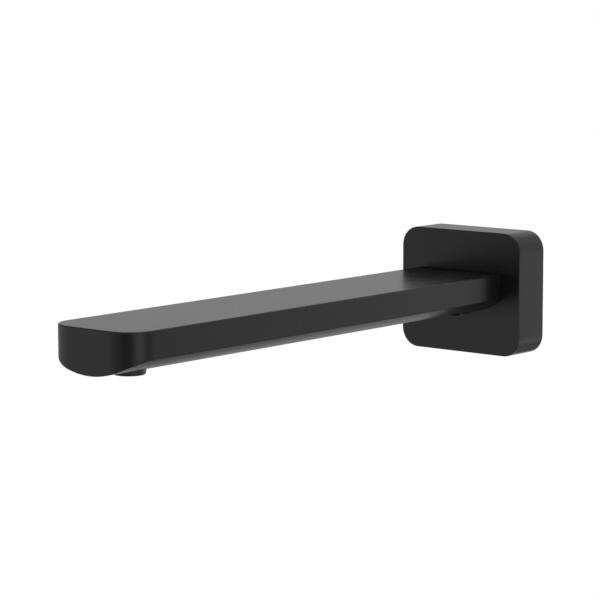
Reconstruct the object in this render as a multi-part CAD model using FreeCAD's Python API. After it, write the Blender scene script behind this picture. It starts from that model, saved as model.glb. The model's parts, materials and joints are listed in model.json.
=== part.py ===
import FreeCAD, Part
import math
import os

# Wall spout for a basin or bath: a flat, hollow cast spout that slides over a threaded
# inlet nipple, a deep rectangular plate that covers the connection at the wall, and a
# small screwed-in outlet with an insert that straightens the jet.
#
# Millimetres, +Z up. The origin is the middle of the plate's back, on the finished wall.
# The wall is the plane Y = 0, the spout reaches along -Y and the pipe thread along +Y.

Vector = FreeCAD.Vector

# Spout, outside
spout_reach = 250.0
spout_width = 45.0
side_height = 11.0
crown_drop = 7.0
tip_corner_radius = 11.5
spout_edge_chamfer = 0.3

# Spout, inside
casting_wall = 3.0
chamber_corner_radius = 8.0
socket_margin = 2.0
socket_lead_in = 1.0

# Wall plate
plate_width = 64.0
plate_height = 54.0
plate_depth = 18.0
plate_corner_radius = 8.5
plate_edge_chamfer = 0.3
plate_wall = 2.5
plate_front_wall = 3.5
collar_length = 4.0
collar_wall = 2.8
plate_clearance = 0.15

# Ring seal between the plate and the spout
ring_seal_width = 1.8
ring_groove_depth = 1.3
ring_groove_clearance = 0.2

# Foam gasket between the plate and the wall
gasket_thickness = 1.5
gasket_width = 3.0
gasket_rebate = 1.2

# Inlet nipple, with a G 1/2 pipe thread shown at its crest diameter
thread_diameter = 20.955
thread_length = 12.0
thread_chamfer = 0.7
relief_diameter = 18.4
relief_length = 1.0
nipple_bore = 8.0
hexagon_flats = 24.0
hexagon_thickness = 6.5
hexagon_chamfer = 0.6
spigot_diameter = 13.0
spigot_length = 40.0
spigot_chamfer = 0.5
spigot_clearance = 0.05
hexagon_gap = 0.5

# Fibre washer behind the nipple's hexagon
washer_thickness = 1.5
washer_clearance = 0.15

# Two square-cut sealing rings in the nipple's grooves
spigot_ring_height = 1.4
spigot_ring_width = 2.0
spigot_ring_side_clearance = 0.2
spigot_ring_from_tip = 8.0
spigot_ring_spacing = 7.0
seal_clearance = 0.02

# Clamping screw, M5 with a hexagon socket, and its groove round the nipple
screw_diameter = 5.0
screw_length = 5.0
screw_from_plate = 4.0
screw_socket_flats = 2.5
screw_socket_depth = 2.2
screw_point_chamfer = 0.8
screw_head_chamfer = 0.4
screw_clearance = 0.04
screw_point_gap = 0.02
screw_groove_clearance = 0.2
clamp_groove_depth = 1.1

# Outlet nozzle
outlet_from_tip = 22.0
nozzle_shoulder_diameter = 13.2
nozzle_mouth_diameter = 12.6
nozzle_rim_height = 2.4
nozzle_edge_chamfer = 0.25
nozzle_thread_diameter = 10.0
nozzle_thread_length = 6.0
nozzle_thread_chamfer = 0.3
nozzle_seat_depth = 0.6
nozzle_seat_clearance = 0.15
nozzle_clearance = 0.04
insert_bore = 8.4
mouth_bore = 7.6
mouth_lip = 0.8
key_notch_count = 4
key_notch_width = 1.2
key_notch_length = 0.7
key_notch_depth = 0.5

# Boss inside the spout that takes the nozzle's thread
boss_wall = 2.5
boss_cap = 2.2
outlet_passage = 7.0
outlet_washer_thickness = 1.2

# Jet straightener: hexagonal cells in rings round a middle one
insert_clearance = 0.05
straightener_height = 4.0
cell_flats = 1.2
cell_rib = 0.3
cell_rings = 2

# Metering disc: a cup with a ring of fine slots in its floor
disc_floor = 1.4
disc_wall = 0.6
disc_slot_count = 10
disc_slot_width = 0.5
disc_slot_inside = 1.6
disc_slot_outside = 3.0

# Strainer: a hat with a hexagonal mesh in its crown
strainer_rim = 0.6
strainer_rise = 2.2
strainer_wall = 0.5
strainer_clearance = 0.3
strainer_mesh_flats = 0.7
strainer_mesh_rib = 0.3
strainer_mesh_rings = 2

# How far a cutting shape runs past what it cuts, and how closely an edge is recognised
overcut = 1.0
edge_tolerance = 1e-4

# Section of the spout, centred on the inlet's axis
spout_top = (side_height + crown_drop) / 2
spout_bottom = -spout_top
crown_radius = ((spout_width / 2) ** 2 + crown_drop**2) / (2 * crown_drop)
crown_centre = spout_bottom + crown_radius

# Stations along the inlet's axis, from the wall outwards
thread_end = relief_length + thread_length
hexagon_back = -washer_thickness
spigot_back = hexagon_back - hexagon_thickness
spigot_front = spigot_back - spigot_length
body_back = spigot_back - hexagon_gap
socket_front = spigot_front - socket_margin
socket_radius = spigot_diameter / 2 + spigot_clearance
spigot_ring_outside = socket_radius - seal_clearance
spigot_ring_inside = spigot_ring_outside - spigot_ring_height
front_ring_y = spigot_front + spigot_ring_from_tip
back_ring_y = front_ring_y + spigot_ring_spacing
clamp_y = -plate_depth - screw_from_plate
clamp_groove_radius = spigot_diameter / 2 - clamp_groove_depth
clamp_groove_width = screw_diameter + 2 * screw_groove_clearance

# Plate's opening, its collar and the groove for the ring seal
collar_back = -plate_depth + plate_front_wall + collar_length
collar_grow = plate_clearance + collar_wall
groove_grow = plate_clearance + ring_groove_depth
seal_y = (collar_back - plate_depth) / 2

# Levels of the outlet, from the mouth upwards
outlet_y = -spout_reach + outlet_from_tip
nozzle_seat = spout_bottom + nozzle_seat_depth
nozzle_mouth = nozzle_seat - nozzle_rim_height
nozzle_top = nozzle_seat + nozzle_thread_length
boss_shoulder = nozzle_top + outlet_washer_thickness
boss_top = boss_shoulder + boss_cap
insert_floor = nozzle_mouth + mouth_lip
insert_radius = insert_bore / 2 - insert_clearance
disc_bottom = insert_floor + straightener_height
strainer_bottom = nozzle_top - strainer_rim
nozzle_thread_bore = nozzle_thread_diameter / 2 + nozzle_clearance


def along(shape, x=None, y=None, z=None):
    """Edges of a shape whose ends all lie on the planes given."""

    def lies(point):
        return all(
            wanted is None or abs(value - wanted) < edge_tolerance
            for value, wanted in zip(point, (x, y, z))
        )

    return [
        edge for edge in shape.Edges if all(lies(end.Point) for end in edge.Vertexes)
    ]


def without(edges, others):
    return [edge for edge in edges if not any(edge.isSame(other) for other in others)]


def turned_y(profile):
    """Solid turned about the inlet's axis from its (radius, y) corners."""
    corners = [Vector(radius, y, 0) for radius, y in profile]
    face = Part.Face(Part.makePolygon(corners + corners[:1]))
    return face.revolve(Vector(0, 0, 0), Vector(0, 1, 0), 360)


def turned_z(profile, y):
    """Solid turned about an upright axis at y from its (radius, z) corners."""
    corners = [Vector(radius, y, z) for radius, z in profile]
    face = Part.Face(Part.makePolygon(corners + corners[:1]))
    return face.revolve(Vector(0, y, 0), Vector(0, 0, 1), 360)


def post(radius, y, low, high):
    """Upright cylinder on the spout's centre line."""
    return Part.makeCylinder(radius, high - low, Vector(0, y, low), Vector(0, 0, 1))


def hexagon(flats, centre, axis_u, axis_v):
    """Face of a hexagon whose flats face along axis_v."""
    reach = flats / math.sqrt(3)
    corners = []
    for corner in range(6):
        angle = math.radians(60 * corner)
        corners.append(centre + axis_u * reach * math.cos(angle) + axis_v * reach * math.sin(angle))
    return Part.Face(Part.makePolygon(corners + corners[:1]))


def crown_section(grow, y):
    """The spout's section at y, grown outwards: flat top, upright sides, arched underside."""
    half = spout_width / 2 + grow
    top = spout_top + grow
    radius = crown_radius + grow
    corner = crown_centre - math.sqrt(radius**2 - half**2)
    upper_left = Vector(-half, y, top)
    upper_right = Vector(half, y, top)
    lower_right = Vector(half, y, corner)
    lower_left = Vector(-half, y, corner)
    lowest = Vector(0, y, crown_centre - radius)
    outline = [
        Part.LineSegment(upper_left, upper_right).toShape(),
        Part.LineSegment(upper_right, lower_right).toShape(),
        Part.Arc(lower_right, lowest, lower_left).toShape(),
        Part.LineSegment(lower_left, upper_left).toShape(),
    ]
    return Part.Face(Part.Wire(outline))


def crown_bar(grow, back, front):
    """Straight length of the spout's section, grown outwards, between two stations."""
    return crown_section(grow, back).extrude(Vector(0, front - back, 0))


def rounded_block(width, height, radius, back, front):
    """Rounded rectangle about the inlet's axis, drawn out between two stations."""
    corner = Vector(-width / 2, front, -height / 2)
    block = Part.makeBox(width, back - front, height, corner)
    lengthwise = [
        edge
        for side in (-width / 2, width / 2)
        for level in (-height / 2, height / 2)
        for edge in along(block, x=side, z=level)
    ]
    return block.makeFillet(radius, lengthwise)


def plan_block(half, back, front, radii):
    """Block taller than the spout, its upright corners rounded at the given stations."""
    low = spout_bottom - overcut
    high = spout_top + overcut
    block = Part.makeBox(2 * half, back - front, high - low, Vector(-half, front, low))
    for station, radius in radii.items():
        corners = along(block, x=-half, y=station) + along(block, x=half, y=station)
        block = block.makeFillet(radius, corners)
    return block


def on_crown(edge):
    """Whether an edge's ends lie on the arched underside."""
    return all(
        abs(math.hypot(end.X, end.Z - crown_centre) - crown_radius) < edge_tolerance
        for end in edge.Vertexes
    )


def spout_outside():
    bar = crown_bar(0, body_back, -spout_reach)
    half = spout_width / 2
    plan = plan_block(half, body_back, -spout_reach, {-spout_reach: tip_corner_radius})
    shape = bar.common(plan)
    back_edges = along(shape, y=body_back)
    upper_edges = along(shape, z=spout_top)
    lower_edges = [edge for edge in shape.Edges if on_crown(edge)]
    long_edges = without(upper_edges + lower_edges, back_edges)
    return shape.makeChamfer(spout_edge_chamfer, long_edges)


def water_chamber():
    """The cored hollow, less the boss that carries the outlet."""
    half = spout_width / 2 - casting_wall
    front = -spout_reach + casting_wall
    radii = {
        front: tip_corner_radius - casting_wall,
        socket_front: chamber_corner_radius,
    }
    hollow = crown_bar(-casting_wall, socket_front, front)
    hollow = hollow.common(plan_block(half, socket_front, front, radii))
    boss = post(nozzle_thread_diameter / 2 + boss_wall, outlet_y, spout_bottom, boss_top)
    return hollow.cut(boss)


def spout_body():
    mouth_radius = socket_radius + socket_lead_in
    socket = turned_y(
        [
            (0, body_back + overcut),
            (mouth_radius, body_back + overcut),
            (mouth_radius, body_back),
            (socket_radius, body_back - socket_lead_in),
            (socket_radius, socket_front - overcut),
            (0, socket_front - overcut),
        ]
    )
    screw_hole = post(
        screw_diameter / 2 + screw_clearance, clamp_y, spout_bottom - overcut, 0
    )
    seat_radius = nozzle_shoulder_diameter / 2 + nozzle_seat_clearance
    outlet = turned_z(
        [
            (0, spout_bottom - overcut),
            (seat_radius, spout_bottom - overcut),
            (seat_radius, nozzle_seat),
            (nozzle_thread_bore, nozzle_seat),
            (nozzle_thread_bore, boss_shoulder),
            (outlet_passage / 2, boss_shoulder),
            (outlet_passage / 2, boss_top + overcut),
            (0, boss_top + overcut),
        ],
        outlet_y,
    )
    return spout_outside().cut([water_chamber(), socket, screw_hole, outlet])


def wall_plate():
    outside = rounded_block(plate_width, plate_height, plate_corner_radius, 0, -plate_depth)
    outside = outside.makeChamfer(plate_edge_chamfer, along(outside, y=-plate_depth))
    hollow = rounded_block(
        plate_width - 2 * plate_wall,
        plate_height - 2 * plate_wall,
        plate_corner_radius - plate_wall,
        overcut,
        -plate_depth + plate_front_wall,
    )
    rebate = rounded_block(*gasket_outline(), overcut, -gasket_thickness)
    collar = crown_bar(collar_grow, collar_back, -plate_depth + plate_front_wall)
    opening = crown_bar(plate_clearance, collar_back + overcut, -plate_depth - overcut)
    half_groove = ring_seal_width / 2 + ring_groove_clearance
    groove = crown_bar(groove_grow, seal_y + half_groove, seal_y - half_groove)
    return outside.cut([hollow, rebate]).fuse(collar).cut([opening, groove]).removeSplitter()


def plate_ring_seal():
    back = seal_y + ring_seal_width / 2
    front = seal_y - ring_seal_width / 2
    ring = crown_bar(groove_grow - seal_clearance, back, front)
    return ring.cut(crown_bar(seal_clearance, back + overcut, front - overcut))


def gasket_outline():
    """Width, height and corner radius of the rebate in the plate's rim."""
    inset = plate_wall - gasket_rebate
    return (
        plate_width - 2 * inset,
        plate_height - 2 * inset,
        plate_corner_radius - inset,
    )


def wall_gasket():
    width, height, radius = gasket_outline()
    frame = rounded_block(
        width - 2 * seal_clearance,
        height - 2 * seal_clearance,
        radius - seal_clearance,
        0,
        -gasket_thickness,
    )
    window = rounded_block(
        width - 2 * gasket_width,
        height - 2 * gasket_width,
        radius - gasket_width,
        overcut,
        -gasket_thickness - overcut,
    )
    return frame.cut(window)


def nipple_hexagon():
    """Hexagon for the spanner, its front corners turned away."""
    reach = hexagon_flats / math.sqrt(3)
    start = Vector(0, hexagon_back, 0)
    prism = hexagon(hexagon_flats, start, Vector(1, 0, 0), Vector(0, 0, 1))
    prism = prism.extrude(Vector(0, -hexagon_thickness, 0))
    chamfer = turned_y(
        [
            (0, hexagon_back),
            (reach, hexagon_back),
            (reach, spigot_back + hexagon_chamfer),
            (reach - 2 * hexagon_chamfer, spigot_back),
            (0, spigot_back),
        ]
    )
    return prism.common(chamfer)


def spigot_groove(floor, width, station):
    """Ring that cuts a square groove round the nipple's spigot."""
    past = spigot_diameter / 2 + overcut
    back = station + width / 2
    front = station - width / 2
    return turned_y([(floor, back), (past, back), (past, front), (floor, front)])


def inlet_nipple():
    thread = thread_diameter / 2
    relief = relief_diameter / 2
    spigot = spigot_diameter / 2
    turned = turned_y(
        [
            (0, thread_end),
            (thread - thread_chamfer, thread_end),
            (thread, thread_end - thread_chamfer),
            (thread, relief_length),
            (relief, relief_length),
            (relief, hexagon_back),
            (spigot, hexagon_back),
            (spigot, spigot_front + spigot_chamfer),
            (spigot - spigot_chamfer, spigot_front),
            (0, spigot_front),
        ]
    )
    length = thread_end - spigot_front + 2 * overcut
    start = Vector(0, spigot_front - overcut, 0)
    ring_floor = spigot_ring_inside - seal_clearance
    ring_groove = spigot_ring_width + 2 * spigot_ring_side_clearance
    cuts = [
        Part.makeCylinder(nipple_bore / 2, length, start, Vector(0, 1, 0)),
        spigot_groove(clamp_groove_radius, clamp_groove_width, clamp_y),
        spigot_groove(ring_floor, ring_groove, front_ring_y),
        spigot_groove(ring_floor, ring_groove, back_ring_y),
    ]
    return turned.fuse(nipple_hexagon()).removeSplitter().cut(cuts)


def inlet_washer():
    inside = thread_diameter / 2 + washer_clearance
    outside = hexagon_flats / 2
    return turned_y([(inside, 0), (outside, 0), (outside, hexagon_back), (inside, hexagon_back)])


def spigot_ring(station):
    back = station + spigot_ring_width / 2
    front = station - spigot_ring_width / 2
    return turned_y(
        [
            (spigot_ring_inside, back),
            (spigot_ring_outside, back),
            (spigot_ring_outside, front),
            (spigot_ring_inside, front),
        ]
    )


def clamp_screw():
    radius = screw_diameter / 2
    point = -clamp_groove_radius - screw_point_gap
    head = point - screw_length
    turned = turned_z(
        [
            (0, head),
            (radius - screw_head_chamfer, head),
            (radius, head + screw_head_chamfer),
            (radius, point - screw_point_chamfer),
            (radius - screw_point_chamfer, point),
            (0, point),
        ],
        clamp_y,
    )
    start = Vector(0, clamp_y, head - overcut)
    socket = hexagon(screw_socket_flats, start, Vector(0, 1, 0), Vector(1, 0, 0))
    return turned.cut(socket.extrude(Vector(0, 0, screw_socket_depth + overcut)))


def outlet_nozzle():
    mouth = nozzle_mouth_diameter / 2
    thread = nozzle_thread_diameter / 2
    turned = turned_z(
        [
            (mouth_bore / 2, nozzle_mouth),
            (mouth - nozzle_edge_chamfer, nozzle_mouth),
            (mouth, nozzle_mouth + nozzle_edge_chamfer),
            (nozzle_shoulder_diameter / 2, nozzle_seat),
            (thread, nozzle_seat),
            (thread, nozzle_top - nozzle_thread_chamfer),
            (thread - nozzle_thread_chamfer, nozzle_top),
            (insert_bore / 2, nozzle_top),
            (insert_bore / 2, insert_floor),
            (mouth_bore / 2, insert_floor),
        ],
        outlet_y,
    )
    notches = []
    for number in range(key_notch_count):
        notch = Part.makeBox(
            mouth_bore / 2 + key_notch_length,
            key_notch_width,
            key_notch_depth + overcut,
            Vector(0, outlet_y - key_notch_width / 2, nozzle_mouth - overcut),
        )
        turn = 360 * (number + 1 / 2) / key_notch_count
        notches.append(notch.rotate(Vector(0, outlet_y, 0), Vector(0, 0, 1), turn))
    return turned.cut(notches)


def outlet_washer():
    inside = outlet_passage / 2
    outside = nozzle_thread_bore - seal_clearance
    profile = [
        (inside, nozzle_top),
        (outside, nozzle_top),
        (outside, boss_shoulder),
        (inside, boss_shoulder),
    ]
    return turned_z(profile, outlet_y)


def honeycomb(flats, rib, rings, low, high):
    """Hexagonal prisms packed in rings round a middle one, between two levels."""
    pitch = flats + rib
    cells = []
    for column in range(-rings, rings + 1):
        for row in range(-rings, rings + 1):
            if abs(column + row) <= rings:
                across = pitch * math.sqrt(3) / 2 * column
                ahead = pitch * (row + column / 2)
                start = Vector(across, outlet_y + ahead, low)
                cell = hexagon(flats, start, Vector(1, 0, 0), Vector(0, 1, 0))
                cells.append(cell.extrude(Vector(0, 0, high - low)))
    return cells


def jet_straightener():
    blank = post(insert_radius, outlet_y, insert_floor, disc_bottom)
    low = insert_floor - overcut
    return blank.cut(honeycomb(cell_flats, cell_rib, cell_rings, low, disc_bottom + overcut))


def metering_disc():
    floor_top = disc_bottom + disc_floor
    cup = turned_z(
        [
            (0, disc_bottom),
            (insert_radius, disc_bottom),
            (insert_radius, strainer_bottom),
            (insert_radius - disc_wall, strainer_bottom),
            (insert_radius - disc_wall, floor_top),
            (0, floor_top),
        ],
        outlet_y,
    )
    slots = []
    for number in range(disc_slot_count):
        slot = Part.makeBox(
            disc_slot_outside - disc_slot_inside,
            disc_slot_width,
            disc_floor + 2 * overcut,
            Vector(disc_slot_inside, outlet_y - disc_slot_width / 2, disc_bottom - overcut),
        )
        turn = 360 * number / disc_slot_count
        slots.append(slot.rotate(Vector(0, outlet_y, 0), Vector(0, 0, 1), turn))
    return cup.cut(slots)


def outlet_strainer():
    crown = outlet_passage / 2 - strainer_clearance
    crown_top = nozzle_top + strainer_rise
    hat = turned_z(
        [
            (crown - strainer_wall, strainer_bottom),
            (insert_radius, strainer_bottom),
            (insert_radius, nozzle_top),
            (crown, nozzle_top),
            (crown, crown_top),
            (0, crown_top),
            (0, crown_top - strainer_wall),
            (crown - strainer_wall, crown_top - strainer_wall),
        ],
        outlet_y,
    )
    low = crown_top - strainer_wall - overcut
    return hat.cut(
        honeycomb(
            strainer_mesh_flats,
            strainer_mesh_rib,
            strainer_mesh_rings,
            low,
            crown_top + overcut,
        )
    )


pieces = {
    "spout_body": spout_body(),
    "wall_plate": wall_plate(),
    "plate_ring_seal": plate_ring_seal(),
    "wall_gasket": wall_gasket(),
    "inlet_nipple": inlet_nipple(),
    "inlet_washer": inlet_washer(),
    "spigot_ring_front": spigot_ring(front_ring_y),
    "spigot_ring_back": spigot_ring(back_ring_y),
    "clamp_screw": clamp_screw(),
    "outlet_nozzle": outlet_nozzle(),
    "outlet_washer": outlet_washer(),
    "jet_straightener": jet_straightener(),
    "metering_disc": metering_disc(),
    "outlet_strainer": outlet_strainer(),
}

os.makedirs("parts", exist_ok=True)
for name, shape in pieces.items():
    shape.exportStep("parts/" + name + ".step")
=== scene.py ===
import json
import math

import bpy
from mathutils import Matrix, Vector


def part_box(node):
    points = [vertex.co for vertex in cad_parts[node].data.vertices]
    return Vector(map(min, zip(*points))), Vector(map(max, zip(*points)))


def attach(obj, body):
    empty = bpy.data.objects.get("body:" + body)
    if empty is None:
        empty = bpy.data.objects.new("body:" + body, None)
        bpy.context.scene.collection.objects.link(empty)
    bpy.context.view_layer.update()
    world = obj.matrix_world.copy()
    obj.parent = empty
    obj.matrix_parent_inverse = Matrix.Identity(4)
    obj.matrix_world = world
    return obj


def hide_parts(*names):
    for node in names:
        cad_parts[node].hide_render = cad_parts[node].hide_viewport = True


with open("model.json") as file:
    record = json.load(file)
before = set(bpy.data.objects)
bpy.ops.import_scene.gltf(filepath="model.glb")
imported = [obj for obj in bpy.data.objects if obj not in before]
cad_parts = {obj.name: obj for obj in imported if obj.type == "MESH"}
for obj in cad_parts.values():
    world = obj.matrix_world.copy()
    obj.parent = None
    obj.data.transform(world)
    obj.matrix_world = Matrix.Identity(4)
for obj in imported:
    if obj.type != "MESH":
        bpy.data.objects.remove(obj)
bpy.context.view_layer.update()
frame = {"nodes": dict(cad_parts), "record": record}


# The inlet nipple: one length of brass turned on a lathe, with a pipe thread behind, a
# hexagon for the spanner and a plain spigot in front, bored through for the water. It is
# screwed into the wall before anything else.

# Pieces are measured in millimetres. The scene itself is in metres
MM = 0.001


class Signal:
    """One output in a node tree. Arithmetic and comparisons on it add Math nodes."""

    def __init__(self, recipe, socket):
        self.recipe = recipe
        self.socket = socket

    def also(self, output):
        """Another output of the same node."""
        return Signal(self.recipe, self.socket.node.outputs[output])

    def __add__(self, other):
        return self.recipe.math("ADD", self, other)

    def __sub__(self, other):
        return self.recipe.math("SUBTRACT", self, other)

    def __rsub__(self, other):
        return self.recipe.math("SUBTRACT", other, self)

    def __mul__(self, other):
        return self.recipe.math("MULTIPLY", self, other)

    def __truediv__(self, other):
        return self.recipe.math("DIVIDE", self, other)

    def __rtruediv__(self, other):
        return self.recipe.math("DIVIDE", other, self)

    def __pow__(self, other):
        return self.recipe.math("POWER", self, other)

    def __rpow__(self, other):
        return self.recipe.math("POWER", other, self)

    def __gt__(self, other):
        return self.recipe.math("GREATER_THAN", self, other)

    def __lt__(self, other):
        return self.recipe.math("LESS_THAN", self, other)

    def __neg__(self):
        return self * -1

    def __abs__(self):
        return self.recipe.math("ABSOLUTE", self)

    __radd__ = __add__
    __rmul__ = __mul__


def grey(tone):
    """An even tone, as a colour."""
    return (tone, tone, tone, 1.0)


def set_stops(ramp, stops):
    """A ramp's stops, each with its place from 0 to 1 and its tone, in that order."""
    while len(ramp.elements) < len(stops):
        ramp.elements.new(0.5)
    for element, (place, tone) in zip(ramp.elements, stops):
        element.position = place
        element.color = grey(tone)


class Recipe:
    """A node tree as it is written, for a finish or for a shape."""

    def __init__(self, tree):
        self.tree = tree
        tree.nodes.clear()

    def add(self, kind, settings=None, inputs=None, output=0):
        """Any node: its settings first, then the values or links of its sockets."""
        node = self.tree.nodes.new(kind)
        for name, value in (settings or {}).items():
            if name == "stops":
                set_stops(node.color_ramp, value)
            else:
                setattr(node, name, value)
        for key, value in (inputs or {}).items():
            if isinstance(value, Signal):
                self.tree.links.new(value.socket, node.inputs[key])
            else:
                node.inputs[key].default_value = value
        return Signal(self, node.outputs[output]) if node.outputs else None

    def math(self, operation, *values):
        return self.add("ShaderNodeMath", {"operation": operation}, dict(enumerate(values)))

    def split(self, vector):
        """The three coordinates of a place."""
        parts = self.add("ShaderNodeSeparateXYZ", inputs={"Vector": vector})
        return [parts.also(axis) for axis in "XYZ"]


def finish_recipe(name):
    """An empty finish, and the place on the object that its pattern is read from."""
    material = bpy.data.materials.new(name)
    material.use_nodes = True
    recipe = Recipe(material.node_tree)
    place = recipe.add("ShaderNodeTexCoord", output="Object")
    return material, recipe, place


def close_finish(recipe, colour, roughness, height, depth, metallic=0.0):
    """The surface itself, with a fine relief as its bump."""
    normal = recipe.add(
        "ShaderNodeBump",
        inputs={"Strength": 1.0, "Distance": depth, "Height": height},
    )
    surface = recipe.add(
        "ShaderNodeBsdfPrincipled",
        inputs={
            "Metallic": metallic,
            "Base Color": colour,
            "Roughness": roughness,
            "Normal": normal,
        },
    )
    recipe.add("ShaderNodeOutputMaterial", inputs={"Surface": surface})


def blended(recipe, share, low, high):
    """A colour between two. The colours of a Mix node are its sockets 6 and 7, and output 2."""
    settings = {"data_type": "RGBA"}
    return recipe.add("ShaderNodeMix", settings, {0: share, 6: low, 7: high}, output=2)


def noise(recipe, place, per_metre, detail=2.0, roughness=0.5):
    """A soft random pattern, from 0 to 1."""
    return recipe.add(
        "ShaderNodeTexNoise",
        inputs={"Vector": place, "Scale": per_metre, "Detail": detail, "Roughness": roughness},
    )


def turned_brass():
    """Bright brass with the fine rings that the lathe tool leaves round the axis."""
    tarnished = (0.62, 0.44, 0.18, 1.0)
    bright = (0.80, 0.60, 0.28, 1.0)
    material, recipe, place = finish_recipe("turned brass")
    x, y, z = recipe.split(place)
    from_axis = recipe.math("SQRT", x**2 + z**2)
    lathe = recipe.add("ShaderNodeCombineXYZ", inputs={"X": from_axis, "Y": y})
    rings = noise(recipe, lathe, per_metre=9000.0, detail=3.0)
    clouds = noise(recipe, place, per_metre=180.0, detail=4.0)
    colour = blended(recipe, clouds, tarnished, bright)
    roughness = 0.14 + 0.16 * rings + 0.14 * clouds
    close_finish(recipe, colour, roughness, rings, depth=0.006 * MM, metallic=1.0)
    return material


# The crest and the root are each left flat over this share of half a pitch
thread_flat = 0.13

# The sheet's two ends lie closer than this once it is turned, and are joined
seam_width = 0.0005 * MM

# Edges flatter than this are shaded smooth
smooth_below = math.radians(28)


def turning_tree():
    """Turns a profile of (radius, height) points round +Z. A thread and a hexagon each cut
    the radius down where they lie, as the lathe and the mill do."""
    tree = bpy.data.node_groups.new("turned piece", "GeometryNodeTree")
    for name, kind in (
        ("Profile", "NodeSocketGeometry"),
        ("Rows", "NodeSocketInt"),
        ("Segments", "NodeSocketInt"),
        ("Thread low", "NodeSocketFloat"),
        ("Thread high", "NodeSocketFloat"),
        ("Thread crest", "NodeSocketFloat"),
        ("Thread depth", "NodeSocketFloat"),
        ("Thread pitch", "NodeSocketFloat"),
        ("Hexagon low", "NodeSocketFloat"),
        ("Hexagon high", "NodeSocketFloat"),
        ("Hexagon flats", "NodeSocketFloat"),
        ("Hexagon reach", "NodeSocketFloat"),
        ("Finish", "NodeSocketMaterial"),
    ):
        tree.interface.new_socket(name=name, in_out="INPUT", socket_type=kind)
    tree.interface.new_socket(name="Piece", in_out="OUTPUT", socket_type="NodeSocketGeometry")
    recipe = Recipe(tree)
    given = recipe.add("NodeGroupInput")

    # A sheet one metre square, from -0.5 to 0.5: the profile's points follow each other
    # along its X, and one whole turn goes along its Y
    sheet = recipe.add(
        "GeometryNodeMeshGrid",
        inputs={
            "Size X": 1.0,
            "Size Y": 1.0,
            "Vertices X": given.also("Rows"),
            "Vertices Y": given.also("Segments") + 1,
        },
    )
    spot = recipe.add("GeometryNodeInputPosition")
    along, across, _ = recipe.split(spot)
    row = recipe.math("ROUND", (along + 0.5) * (given.also("Rows") - 1))
    turn = across + 0.5
    point = recipe.add(
        "GeometryNodeSampleIndex",
        {"data_type": "FLOAT_VECTOR", "domain": "POINT"},
        {"Geometry": given, "Value": spot, "Index": row},
    )
    drawn, _, height = recipe.split(point)

    def between(low, high):
        return (height > given.also(low)) * (height < given.also(high))

    def cut_down(radius, limit, where):
        return radius + (recipe.math("MINIMUM", limit, radius) - radius) * where

    # Two flanks to a pitch, and a narrow flat at the crest and at the root
    phase = recipe.math("FRACT", height / given.also("Thread pitch") - turn)
    flank = recipe.add(
        "ShaderNodeMapRange",
        inputs={
            "Value": abs(phase * 2 - 1),
            "From Min": thread_flat,
            "From Max": 1 - thread_flat,
        },
    )
    root = given.also("Thread crest") - given.also("Thread depth")
    threaded = (drawn > root) * between("Thread low", "Thread high")
    radius = cut_down(drawn, root + flank * given.also("Thread depth"), threaded)

    # How far a hexagon's side is, as the turn passes each of its corners
    sixth = recipe.math("FRACT", turn * 6) - 0.5
    lean = recipe.math("COSINE", sixth * math.radians(60))
    side = given.also("Hexagon flats") / 2 / lean
    milled = (radius < given.also("Hexagon reach")) * between("Hexagon low", "Hexagon high")
    radius = cut_down(radius, side, milled)

    angle = turn * math.tau
    place = recipe.add(
        "ShaderNodeCombineXYZ",
        inputs={
            "X": recipe.math("COSINE", angle) * radius,
            "Y": recipe.math("SINE", angle) * radius,
            "Z": height,
        },
    )
    turned = recipe.add("GeometryNodeSetPosition", inputs={"Geometry": sheet, "Position": place})
    closed = recipe.add(
        "GeometryNodeMergeByDistance",
        inputs={"Geometry": turned, "Distance": seam_width},
    )
    real = recipe.add("GeometryNodeRealizeInstances", inputs={"Geometry": closed})
    done = recipe.add(
        "GeometryNodeSetMaterial",
        inputs={"Geometry": real, "Material": given.also("Finish")},
    )
    recipe.add("NodeGroupOutput", inputs={"Piece": done})
    return tree


turning = turning_tree()


def turned_piece(name, profile, sizes, finish, stand):
    """A plain mesh of one turned piece. Its profile and sizes are in millimetres."""
    outline = bpy.data.meshes.new(name)
    outline.from_pydata([(radius * MM, 0, height * MM) for radius, height in profile], [], [])
    blank = bpy.data.objects.new(name + "_blank", outline)
    bpy.context.scene.collection.objects.link(blank)
    modifier = blank.modifiers.new("turning", "NODES")
    modifier.node_group = turning
    values = {"Rows": len(profile), "Finish": finish}
    for key, value in sizes.items():
        values[key] = value if key == "Segments" else value * MM
    for item in turning.interface.items_tree:
        if item.in_out == "INPUT" and item.name in values:
            modifier[item.identifier] = values[item.name]
    ready = blank.evaluated_get(bpy.context.evaluated_depsgraph_get())
    mesh = bpy.data.meshes.new_from_object(ready)
    bpy.data.objects.remove(blank)
    mesh.transform(stand)
    mesh.shade_smooth()
    mesh.set_sharp_from_angle(angle=smooth_below)
    piece = bpy.data.objects.new(name, mesh)
    bpy.context.scene.collection.objects.link(piece)
    return piece


def stretch(low, high, step):
    """Heights from low to high, about a step apart, without the last."""
    count = max(1, round((high - low) / step))
    return [low + (high - low) * number / count for number in range(count)]


mounts = {mount["name"]: mount for mount in frame["record"]["mounts"]}
thread_mount = mounts["inlet_thread"]
thread_crest = thread_mount["dims"]["r_mm"]
thread_middle = thread_mount["pos_m"][1] / MM
thread_low = thread_middle - thread_mount["dims"]["length_mm"] / 2
thread_high = thread_middle + thread_mount["dims"]["length_mm"] / 2
thread_pitch = 1.814
thread_depth = 1.162
rows_per_pitch = 14
relief_radius = 9.2
waterway_radius = 4.0
spigot_radius = 6.5
spigot_chamfer = 0.5
hexagon_chamfer = 0.6
hexagon_length = 6.5
ring_groove_floor = 5.11
ring_side_clearance = 0.2
screw_side_clearance = 0.2
screw_point_gap = 0.02
nipple_segments = 96

# By this much a cut reaches past the points that it has to take in
overcut = 0.01

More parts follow.
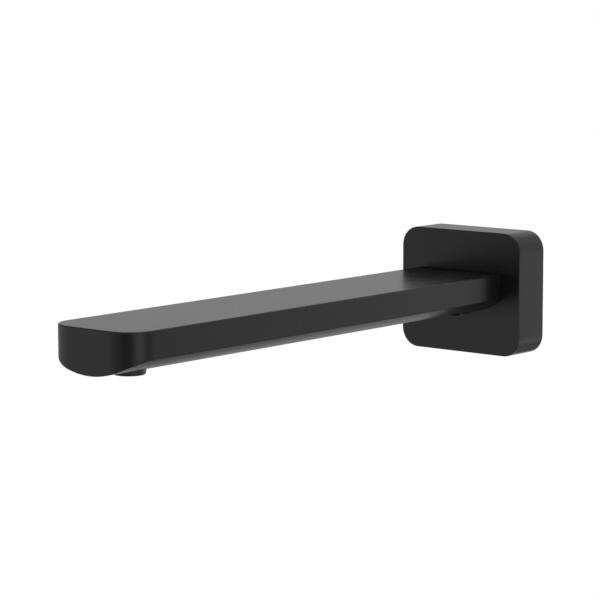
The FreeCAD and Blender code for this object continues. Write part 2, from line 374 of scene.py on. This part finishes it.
nipple_low, nipple_high = (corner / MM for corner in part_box("inlet_nipple"))
hexagon_flats = nipple_high.z - nipple_low.z
hexagon_reach = nipple_high.x
hexagon_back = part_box("inlet_washer")[0].y / MM
hexagon_front = hexagon_back - hexagon_length


def groove_round(node, clearance, floor):
    """Corners of the spigot's groove that a piece lies in, from the wall outwards."""
    low, high = (corner.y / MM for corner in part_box(node))
    return [
        (spigot_radius, high + clearance),
        (floor, high + clearance),
        (floor, low - clearance),
        (spigot_radius, low - clearance),
    ]


screw_groove_floor = -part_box("clamp_screw")[1].z / MM - screw_point_gap

# Past the full thread the crest is turned down at 45 degrees, to lead into its fitting
threaded_end = stretch(thread_low, nipple_high.y, thread_pitch / rows_per_pitch)
outside = [
    (thread_crest - max(0, height - thread_high), height)
    for height in reversed(threaded_end + [nipple_high.y])
]
outside += [
    (relief_radius, thread_low),
    (relief_radius, hexagon_back),
    (hexagon_reach, hexagon_back),
    (hexagon_reach, hexagon_front + hexagon_chamfer),
    (hexagon_reach - hexagon_chamfer, hexagon_front + hexagon_chamfer / 2),
    (hexagon_reach - 2 * hexagon_chamfer, hexagon_front),
    (spigot_radius, hexagon_front),
    *groove_round("clamp_screw", screw_side_clearance, screw_groove_floor),
    *groove_round("spigot_ring_back", ring_side_clearance, ring_groove_floor),
    *groove_round("spigot_ring_front", ring_side_clearance, ring_groove_floor),
    (spigot_radius, nipple_low.y + spigot_chamfer),
    (spigot_radius - spigot_chamfer, nipple_low.y),
    (waterway_radius, nipple_low.y),
    (waterway_radius, nipple_high.y),
]
nipple = turned_piece(
    "inlet_nipple_turned",
    outside + outside[:1],
    {
        "Segments": nipple_segments,
        "Thread low": thread_low - overcut,
        "Thread high": nipple_high.y + overcut,
        "Thread crest": thread_crest,
        "Thread depth": thread_depth,
        "Thread pitch": thread_pitch,
        "Hexagon low": hexagon_front - overcut,
        "Hexagon high": hexagon_back + overcut,
        "Hexagon flats": hexagon_flats,
        "Hexagon reach": hexagon_reach + overcut,
    },
    turned_brass(),
    Matrix.Rotation(math.radians(-90), 4, "X"),
)
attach(nipple, "root")
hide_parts("inlet_nipple")


# The washers and seals: a fibre washer behind the hexagon, two square-cut rubber rings on
# the spigot, a rubber ring in the plate's collar and a flat rubber washer over the outlet.


def pressed_fibre():
    """Red-brown vulcanised fibre, matt and mottled, with fine threads pressed into it."""
    dark = (0.20, 0.045, 0.025, 1.0)
    light = (0.42, 0.13, 0.07, 1.0)
    material, recipe, place = finish_recipe("pressed fibre")
    mottle = noise(recipe, place, per_metre=900.0, detail=5.0, roughness=0.7)
    threads = noise(recipe, place, per_metre=5200.0)
    colour = blended(recipe, mottle, dark, light)
    roughness = 0.62 + 0.2 * threads
    close_finish(recipe, colour, roughness, threads + mottle, depth=0.02 * MM)
    return material


def moulded_rubber():
    """Black rubber with a dull skin and a faint grey bloom."""
    material, recipe, place = finish_recipe("moulded rubber")
    skin = noise(recipe, place, per_metre=2600.0, detail=3.0)
    bloom = noise(recipe, place, per_metre=240.0, detail=3.0)
    colour = blended(recipe, bloom, grey(0.012), grey(0.024))
    roughness = 0.52 + 0.18 * skin
    close_finish(recipe, colour, roughness, skin, depth=0.01 * MM)
    return material


def dress(node, finish):
    """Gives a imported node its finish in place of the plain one."""
    mesh = frame["nodes"][node].data
    mesh.materials.clear()
    mesh.materials.append(finish)


dress("inlet_washer", pressed_fibre())
rubber = moulded_rubber()
for node in ("spigot_ring_front", "spigot_ring_back", "plate_ring_seal", "outlet_washer"):
    dress(node, rubber)


# The gasket: closed-cell foam cut from sheet, laid in the rebate round the plate's rim. It
# evens out the wall and keeps splashes from running behind the plate.


def closed_cell_foam():
    """Dark grey foam: small cells side by side, laid open where the sheet was cut. Their pits
    hold painted shade.
    """
    # The darker colour is painted shade for the hollow middle of each cell
    pit_shade = (0.020, 0.020, 0.021, 1.0)
    ridge = (0.075, 0.075, 0.078, 1.0)
    material, recipe, place = finish_recipe("closed-cell foam")
    cells = recipe.add(
        "ShaderNodeTexVoronoi",
        inputs={"Vector": place, "Scale": 2400.0, "Randomness": 1.0},
    )
    # Painted shade, darker towards each cell's hollow middle, mixed with a random tone of the
    # foam
    pit_shade_and_mottle = 0.7 * cells + 0.3 * noise(recipe, place, per_metre=500.0)
    colour = blended(recipe, pit_shade_and_mottle, pit_shade, ridge)
    roughness = 0.82 + 0.1 * cells
    close_finish(recipe, colour, roughness, cells, depth=0.12 * MM)
    return material


dress("wall_gasket", closed_cell_foam())


# The plate, the spout and the outlet's nozzle: cast or turned in brass, ground, and sprayed
# with the same stoved black coating. It is satin to the eye, with a very fine, even grain,
# and thinner and rougher inside the plate, where the spray hardly reaches.

plate_wall = 2.5
plate_front_wall = 3.5
spray_fades = 1.2


def rising(recipe, distance, start, end):
    """Share that rises from nothing to one as a distance passes two marks, in metres."""
    return recipe.add(
        "ShaderNodeMapRange",
        {"interpolation_type": "SMOOTHSTEP"},
        {"Value": distance, "From Min": start, "From Max": end},
    )


def inside_plate(recipe, place):
    """Where on the object the spray is thin: the plate's recess, up to its front wall."""
    x, y, z = recipe.split(place)
    low, high = (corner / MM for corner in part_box("wall_plate"))

    def within(distance, reach):
        return 1 - rising(recipe, distance, reach * MM, (reach + spray_fades) * MM)

    recess = within(abs(x), high.x - plate_wall) * within(abs(z), high.z - plate_wall)
    return recess * within(-y, -low.y - plate_front_wall)


def satin_black():
    """Stoved black coating: its grain is a third of a millimetre wide, and it lies quite
    level. Where it is thin, the brass tints it."""
    black = grey(0.012)
    hazy_black = grey(0.014)
    tinted = (0.055, 0.050, 0.044, 1.0)
    material, recipe, place = finish_recipe("satin black")
    grain = noise(recipe, place, per_metre=3200.0)
    flow = noise(recipe, place, per_metre=260.0)
    haze = noise(recipe, place, per_metre=45.0, detail=3.0)
    thin = inside_plate(recipe, place)
    speckle = noise(recipe, place, per_metre=1500.0, detail=4.0, roughness=0.8)
    coat = blended(recipe, haze, black, hazy_black)
    colour = blended(recipe, thin * speckle, coat, tinted)
    roughness = 0.25 + 0.01 * grain + 0.03 * haze + thin * (0.15 + 0.25 * speckle)
    relief = 0.6 * grain + 0.4 * flow + 1.5 * thin * speckle
    close_finish(recipe, colour, roughness, relief, depth=0.02 * MM)
    return material


coating = satin_black()
for node in ("wall_plate", "spout_body", "outlet_nozzle"):
    dress(node, coating)


# The clamping screw: a small set screw of blackened steel with a hexagon socket. It comes
# up through the underside of the spout and its point bears in the nipple's groove.

screw_radius = 2.5
screw_pitch = 0.8
screw_thread_depth = 0.49
screw_head_chamfer = 0.4
screw_point_chamfer = 0.8
screw_socket_flats = 2.5
screw_socket_depth = 2.2
screw_segments = 48

screw_low, screw_high = (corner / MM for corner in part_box("clamp_screw"))
screw_length = screw_high.z - screw_low.z
socket_reach = screw_socket_flats / math.sqrt(3)


def blackened_steel():
    """Oxide-blackened steel, faintly oily, with fine marks from rolling the thread."""
    dark = (0.035, 0.035, 0.037, 1.0)
    light = (0.075, 0.075, 0.078, 1.0)
    material, recipe, place = finish_recipe("blackened steel")
    marks = noise(recipe, place, per_metre=4200.0, detail=3.0)
    colour = blended(recipe, marks, dark, light)
    roughness = 0.28 + 0.2 * marks
    close_finish(recipe, colour, roughness, marks, depth=0.004 * MM, metallic=1.0)
    return material


def screw_radius_at(height):
    """Radius of the blank, with its head and point turned down."""
    from_head = screw_radius - screw_head_chamfer + height
    from_point = screw_radius - screw_point_chamfer + screw_length - height
    return min(screw_radius, from_head, from_point)


screw_profile = [(0, screw_length), (screw_radius_at(screw_length), screw_length)]
for height in reversed(stretch(0, screw_length, screw_pitch / rows_per_pitch)):
    screw_profile.append((screw_radius_at(height), height))
screw_profile += [
    (socket_reach, 0),
    (socket_reach, screw_socket_depth),
    (0, screw_socket_depth),
]
screw = turned_piece(
    "clamp_screw_threaded",
    screw_profile,
    {
        "Segments": screw_segments,
        "Thread low": -overcut,
        "Thread high": screw_length + overcut,
        "Thread crest": screw_radius,
        "Thread depth": screw_thread_depth,
        "Thread pitch": screw_pitch,
        "Hexagon low": -overcut,
        "Hexagon high": screw_socket_depth + overcut,
        "Hexagon flats": screw_socket_flats,
        "Hexagon reach": socket_reach + overcut,
    },
    blackened_steel(),
    Matrix.Translation((0, (screw_low.y + screw_high.y) / 2 * MM, screw_low.z * MM))
    @ Matrix.Rotation(math.radians(90), 4, "Z"),
)
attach(screw, "root")
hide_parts("clamp_screw")


# The outlet's insert: three mouldings of pale acetal that stack inside the nozzle. The
# strainer catches grit, the disc sets the flow and the hexagonal cells make the jet clear.


def pale_acetal():
    """Off-white acetal, a little waxy."""
    dull = (0.60, 0.61, 0.60, 1.0)
    pale = (0.74, 0.74, 0.72, 1.0)
    material, recipe, place = finish_recipe("pale acetal")
    cloud = noise(recipe, place, per_metre=400.0, detail=3.0)
    skin = noise(recipe, place, per_metre=3600.0)
    colour = blended(recipe, cloud, dull, pale)
    roughness = 0.36 + 0.12 * skin
    close_finish(recipe, colour, roughness, skin, depth=0.004 * MM)
    return material


acetal = pale_acetal()
for node in ("jet_straightener", "metering_disc", "outlet_strainer"):
    dress(node, acetal)


# The studio: the camera stands in front and to the right, a little above the spout, with a
# long lens. The floor lies well below, pale and running out into white. A tall round screen
# that only reflections see stands about the object, and the light is soft all round.

view_azimuth = math.radians(40.133)
view_elevation = math.radians(7.547)
view_roll = math.radians(-0.105)
view_distance = 1.12608
view_target = Vector((-0.06239, -0.05357, -0.00564))
focal_pixels = 2518.6
picture_pixels = 600
nearest_seen = 0.01

lens = bpy.data.cameras.new("camera")
lens.sensor_fit = "HORIZONTAL"
lens.lens = lens.sensor_width * focal_pixels / picture_pixels
lens.clip_start = nearest_seen
camera = bpy.data.objects.new("camera", lens)
bpy.context.scene.collection.objects.link(camera)
turn = Matrix.Rotation(view_azimuth, 4, "Z")
tilt = Matrix.Rotation(math.radians(90) - view_elevation, 4, "X")
roll = Matrix.Rotation(view_roll, 4, "Z")
back = Matrix.Translation((0, 0, view_distance))
camera.matrix_world = Matrix.Translation(view_target) @ turn @ tilt @ roll @ back
bpy.context.scene.camera = camera

white = grey(1.0)
world = bpy.data.worlds.new("studio")
world.use_nodes = True
surround = Recipe(world.node_tree)
background = surround.add("ShaderNodeBackground", inputs={"Color": white})
surround.add("ShaderNodeOutputWorld", inputs={"Surface": background})
bpy.context.scene.world = world
bpy.context.scene.view_settings.view_transform = "Standard"

floor_level = -0.5
floor_reach = 6.0
floor_grey = grey(0.56)
floor_fades_from = 0.7
floor_fades_to = 1.38
floor_paleness = 0.75
screen_distance = 1.25
screen_top = 2.2
screen_segments = 128
screen_changes_from = 0.0
screen_changes_to = 0.16

# Tones of the screen by direction, in degrees: 0 is straight in front of the tip, 90 is to
# the right and 180 behind the wall. The low ones are what the upright sides reflect, and
# the high ones the level top
low_tones = (
    (-180, 0.36),
    (-125, 0.27),
    (-100, 0.33),
    (-65, 0.54),
    (-48, 0.61),
    (-42, 0.57),
    (-36, 0.58),
    (-22, 0.48),
    (-8, 0.38),
    (4, 0.24),
    (16, 0.17),
    (32, 0.16),
    (44, 0.27),
    (54, 0.88),
    (78, 0.86),
    (90, 0.36),
    (112, 0.32),
    (128, 0.46),
    (146, 0.64),
    (158, 0.92),
    (170, 0.92),
    (180, 0.50),
)
high_tones = (
    (-180, 0.61),
    (-118, 0.61),
    (-98, 0.13),
    (30, 0.12),
    (60, 0.40),
    (120, 0.48),
    (145, 0.58),
    (165, 0.58),
    (180, 0.61),
)


def floor_finish():
    """Pale matt floor that runs out into plain white, like the sweep of a studio. The camera
    sees it paler than reflections do, and sees through it from below, where the outlet is."""
    material, recipe, place = finish_recipe("studio floor")
    x, y, _ = recipe.split(place)
    away = recipe.math("SQRT", x**2 + y**2)
    fade = rising(recipe, away, floor_fades_from, floor_fades_to)
    matt = recipe.add("ShaderNodeBsdfDiffuse", inputs={"Color": floor_grey})
    glow = recipe.add("ShaderNodeEmission", inputs={"Color": white})
    to_camera = recipe.add("ShaderNodeLightPath", output="Is Camera Ray")
    whiteness = recipe.math("MAXIMUM", fade, to_camera * floor_paleness)
    upper_side = recipe.add("ShaderNodeMixShader", inputs={0: whiteness, 1: matt, 2: glow})
    from_below = recipe.add("ShaderNodeNewGeometry", output="Backfacing")
    clear = recipe.add("ShaderNodeBsdfTransparent")
    surface = recipe.add("ShaderNodeMixShader", inputs={0: from_below, 1: upper_side, 2: clear})
    recipe.add("ShaderNodeOutputMaterial", inputs={"Surface": surface})
    return material


def tones_round(recipe, turn, tones):
    """Tones round the object, by a share of a whole turn that begins behind the wall."""
    stops = [(0.5 + degrees / 360, tone) for degrees, tone in tones]
    return recipe.add("ShaderNodeValToRGB", {"stops": stops}, {"Fac": turn})


def screen_finish():
    """Grey cloth that glows softly: dark by the camera, nearly white behind the wall, with
    one bright gap on the right. High up it is darker in front than it is low down."""
    material, recipe, place = finish_recipe("studio screen")
    x, y, z = recipe.split(place)
    turn = 0.5 + recipe.math("ARCTAN2", x, -y) / math.tau
    upper = rising(recipe, z, screen_changes_from, screen_changes_to)
    low = tones_round(recipe, turn, low_tones)
    high = tones_round(recipe, turn, high_tones)
    tones = blended(recipe, upper, low, high)
    glow = recipe.add("ShaderNodeEmission", inputs={"Color": tones})
    recipe.add("ShaderNodeOutputMaterial", inputs={"Surface": glow})
    return material


def stage_piece(name, corners, faces, finish):
    """A piece of the studio, which is no part of the object."""
    mesh = bpy.data.meshes.new(name)
    mesh.from_pydata(corners, [], faces)
    mesh.materials.append(finish)
    piece = bpy.data.objects.new(name, mesh)
    bpy.context.scene.collection.objects.link(piece)
    return piece


sides = ((-1, -1), (1, -1), (1, 1), (-1, 1))
corners = [(x * floor_reach, y * floor_reach, floor_level) for x, y in sides]
stage_piece("floor", corners, [(0, 1, 2, 3)], floor_finish())

corners = []
for level in (floor_level, screen_top):
    for step in range(screen_segments):
        angle = math.tau * step / screen_segments
        x, y = screen_distance * math.cos(angle), screen_distance * math.sin(angle)
        corners.append((x, y, level))
faces = []
for step in range(screen_segments):
    following = (step + 1) % screen_segments
    faces.append((step, following, screen_segments + following, screen_segments + step))
screen = stage_piece("screen", corners, faces, screen_finish())
screen.visible_camera = False
